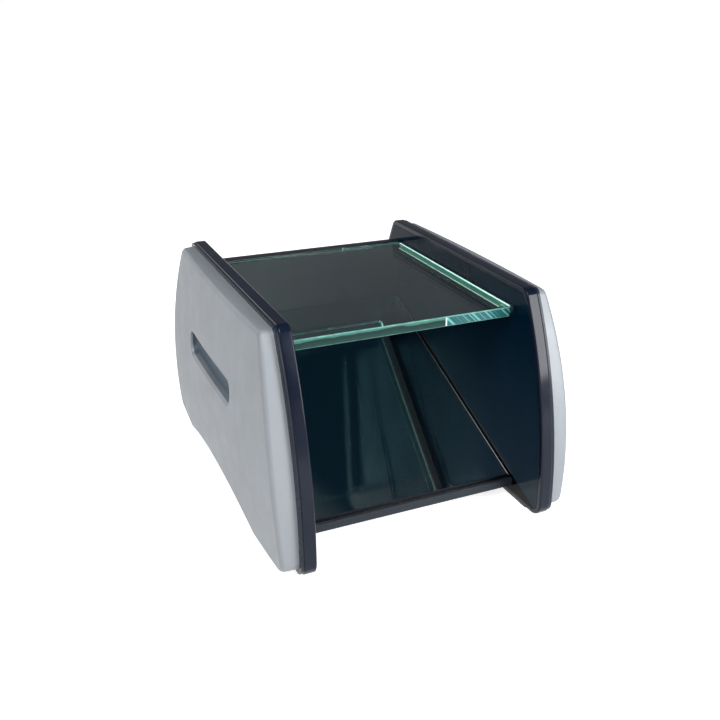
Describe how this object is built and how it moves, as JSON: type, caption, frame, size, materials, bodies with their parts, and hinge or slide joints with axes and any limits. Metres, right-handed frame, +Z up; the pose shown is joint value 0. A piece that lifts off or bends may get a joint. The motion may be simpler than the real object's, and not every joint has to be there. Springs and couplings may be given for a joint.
{
  "type": "podoscope",
  "caption": "Foot-examination stand: a lit glass plate to stand on, held between two moulded sides, with a tilted mirror below it that shows the soles.",
  "frame": {"origin": "on the floor, under the centre of the part's overall box", "axes": "+X across, from the left side panel to the right one; +Y from the viewer, in front, to the back panel; +Z up"},
  "size_m": [0.474, 0.588, 0.337],
  "materials": {
    "panel_black": "satin black lacquer on board",
    "liner_gloss": "gloss",
    "spacer_grey": "satin",
    "cover_silver": "satin metallic paint",
    "screw_steel": "zinc plated",
    "clear_glass": "polished, ground edges",
    "ledge_metal": "satin anodised",
    "rubber_black": "matt",
    "pad_clear": "milky silicone",
    "lamp_board": "matt",
    "diffuser_opal": "opal",
    "mirror_silver": "polished",
    "board_black": "satin black lacquer on board",
    "rail_black": "satin black lacquer on board",
    "plate_black": "black anodised",
    "device_black": "matt",
    "pin_brass": "bare",
    "rocker_black": "gloss",
    "driver_case": "bare"
  },
  "bodies": {
    "stand": {"left_side_panel": "panel_black", "right_side_panel": "panel_black", "left_liner": "liner_gloss", "right_liner": "liner_gloss", "left_spacer": "spacer_grey", "right_spacer": "spacer_grey", "left_cover": "cover_silver", "right_cover": "cover_silver", "cover_screws": "screw_steel", "glass_plate": "clear_glass", "left_glass_ledge": "ledge_metal", "right_glass_ledge": "ledge_metal", "glass_pads": "pad_clear", "left_light_strip": "lamp_board", "right_light_strip": "lamp_board", "left_diffuser": "diffuser_opal", "right_diffuser": "diffuser_opal", "mirror": "mirror_silver", "mirror_board": "board_black", "left_mirror_batten": "board_black", "right_mirror_batten": "board_black", "front_rail": "rail_black", "back_panel": "board_black", "frame_screws": "screw_steel", "ledge_screws": "screw_steel", "batten_screws": "screw_steel", "connector_plate": "plate_black", "plate_screws": "screw_steel", "power_inlet": "device_black", "inlet_pins": "pin_brass", "switch_housing": "device_black", "light_driver": "driver_case", "driver_screws": "screw_steel", "rubber_feet": "rubber_black"},
    "rocker": {"switch_rocker": "rocker_black"}
  },
  "joints": [
    {"name": "rocker_tilt", "type": "hinge", "parent": "stand", "child": "rocker", "pos_m": [0.111, 0.2065, 0.064], "axis": [1, 0, 0], "range_deg": [0, 16]}
  ]
}
